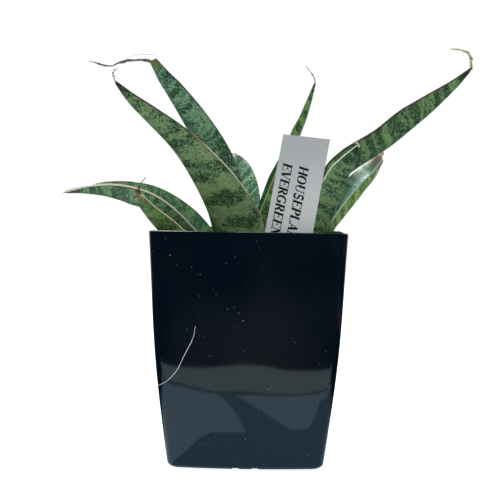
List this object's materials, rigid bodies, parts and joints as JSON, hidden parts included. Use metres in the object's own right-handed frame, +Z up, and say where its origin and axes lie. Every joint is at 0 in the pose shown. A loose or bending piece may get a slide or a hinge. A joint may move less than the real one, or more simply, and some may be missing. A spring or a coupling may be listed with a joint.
{
  "type": "potted snake plant",
  "caption": "Small potted snake plant: stiff channelled mottled leaves with dry thread tips, in a glossy black square pot with a plain stake label.",
  "frame": {"origin": "centre of the pot's underside, on the surface that it stands on", "axes": "+Z up, -Y towards the front, where the label stands, +X to the right seen from the front"},
  "size_m": [0.2151, 0.1042, 0.2203],
  "materials": {
    "pot": "gloss",
    "soil": "rough, loose",
    "rhizome": "matte",
    "leaf": "waxy satin, mottled in cross bands",
    "label": "satin"
  },
  "bodies": {
    "root": {"pot": "pot", "soil": "soil", "rhizome": "rhizome", "leaf_front_left": "leaf", "leaf_back_left": "leaf", "leaf_low_left": "leaf", "leaf_near_left": "leaf", "leaf_back": "leaf", "leaf_spear": "leaf", "leaf_right_long": "leaf", "leaf_right_front": "leaf", "leaf_right_back": "leaf", "plant_label": "label"}
  },
  "joints": []
}
